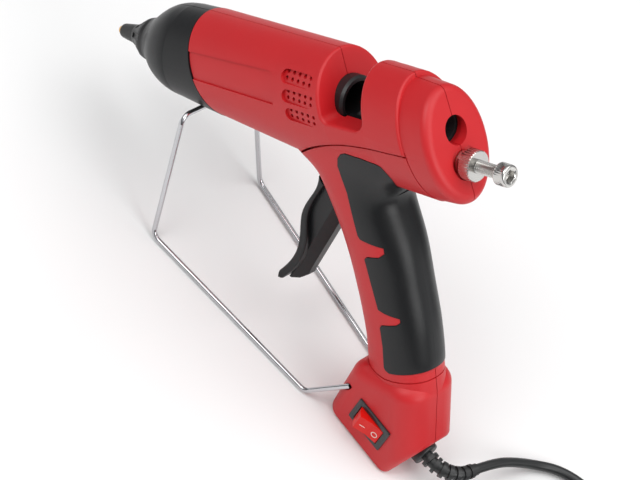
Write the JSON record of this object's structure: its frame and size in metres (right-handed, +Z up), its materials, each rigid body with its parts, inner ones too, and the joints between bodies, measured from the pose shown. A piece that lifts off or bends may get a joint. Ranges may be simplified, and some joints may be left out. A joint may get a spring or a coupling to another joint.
{
  "type": "hot-melt glue gun",
  "caption": "Corded trigger-fed hot-melt glue gun standing on its foot and a bent wire stand, with a silicone-sleeved nozzle, stick feed window, stroke adjuster and rocker switch.",
  "frame": {"origin": "centre of the standing gun's footprint box on the table, cord not counted", "axes": "+Z up from the table, +X from the nozzle towards the foot, +Y to the gun's right side"},
  "size_m": [0.3781, 0.119, 0.1754],
  "materials": {
    "red_shell": "fine satin moulded texture",
    "black_nose": "satin heat-proof plastic",
    "black_grip": "soft matte overmould",
    "silicone": "matte silicone",
    "brass": "turned",
    "wire_chrome": "bright plated wire",
    "nickel": "nickel-plated steel",
    "steel": "zinc-plated steel",
    "aluminium": "die-cast",
    "ceramic": "fired ceramic",
    "white_plastic": "plain moulded",
    "grey_plastic": "plain moulded",
    "black_gloss": "moulded switch frame",
    "rocker_red": "tinted clear plastic",
    "cord_black": "smooth cable jacket",
    "lead_sleeve": "glass-silicone sleeve"
  },
  "bodies": {
    "gun": {"housing_left": "red_shell", "housing_right": "red_shell", "housing_screws": "steel", "grip_overmould": "black_grip", "nose_cover_left": "black_nose", "nose_cover_right": "black_nose", "nose_screws": "steel", "nozzle": "brass", "nozzle_sleeve": "silicone", "melt_chamber": "aluminium", "heater_cartridge": "ceramic", "front_bush": "ceramic", "chamber_clamp": "steel", "inlet_sleeve": "silicone", "sleeve_clip": "steel", "trigger_pin": "steel", "lever_pin": "steel", "stick_guide": "black_nose", "guide_rods": "steel", "return_springs": "steel", "adjuster_insert": "brass", "switch_frame": "black_gloss", "switch_terminals": "brass", "stand_wire": "wire_chrome", "strain_relief": "cord_black", "cord_inner": "cord_black", "cord_clamp": "white_plastic", "clamp_saddle": "white_plastic", "clamp_screws": "steel", "terminal_block": "white_plastic", "heater_leads": "lead_sleeve", "power_cord": "cord_black", "cord_coil": "cord_black", "cord_tail": "cord_black", "plug_body": "cord_black", "plug_pins": "nickel", "coil_tie": "black_grip"},
    "trigger": {"trigger": "black_nose"},
    "lever": {"feed_lever": "steel"},
    "carriage": {"feed_carriage": "grey_plastic", "jaw_pin": "steel"},
    "jaw": {"grip_jaw": "steel"},
    "stop": {"stop_pad": "grey_plastic"},
    "adjuster": {"adjuster_screw": "nickel"},
    "nut": {"lock_nut": "nickel"},
    "rocker": {"switch_rocker": "rocker_red"}
  },
  "joints": [
    {"name": "trigger_pull", "type": "hinge", "parent": "gun", "child": "trigger", "pos_m": [0.01503, 0, 0.10121], "axis": [0, -1, 0], "range_deg": [0, 20], "stiffness_Nm_per_rad": 1.5, "springref_deg": -14.32},
    {"name": "lever_swing", "type": "hinge", "parent": "gun", "child": "lever", "pos_m": [0.03243, 0, 0.10982], "axis": [0, -1, 0], "range_deg": [0, 18.2]},
    {"name": "carriage_feed", "type": "slide", "parent": "gun", "child": "carriage", "axis": [-0.7859, 0, -0.6184], "range_m": [0, 0.0073], "deforming": ["return_springs"]},
    {"name": "jaw_bite", "type": "hinge", "parent": "carriage", "child": "jaw", "pos_m": [0.02725, 0, 0.16249], "axis": [0, 1, 0], "range_deg": [0, 12.2]},
    {"name": "adjuster_travel", "type": "slide", "parent": "gun", "child": "stop", "axis": [-0.7859, 0, -0.6184], "range_m": [0, 0.003]},
    {"name": "adjuster_turn", "type": "hinge", "parent": "stop", "child": "adjuster", "pos_m": [0.06033, 0, 0.16007], "axis": [-0.7859, 0, -0.6184], "range_deg": [0, 1080.5]},
    {"name": "lock_nut_turn", "type": "hinge", "parent": "gun", "child": "nut", "pos_m": [0.05797, 0, 0.15821], "axis": [-0.7859, 0, -0.6184], "continuous": true},
    {"name": "switch_rock", "type": "hinge", "parent": "gun", "child": "rocker", "pos_m": [0.09736, -0.01532, 0.0169], "axis": [0, 0, -1], "range_deg": [0, 38]}
  ],
  "couplings": [
    {"joint": "lever_swing", "follows": "trigger_pull", "ratio": 0.9},
    {"joint": "carriage_feed", "follows": "trigger_pull", "m_per_rad": 0.02033},
    {"joint": "jaw_bite", "follows": "trigger_pull", "ratio": 0.6},
    {"joint": "adjuster_turn", "follows": "adjuster_travel", "rad_per_m": 6283.2}
  ]
}
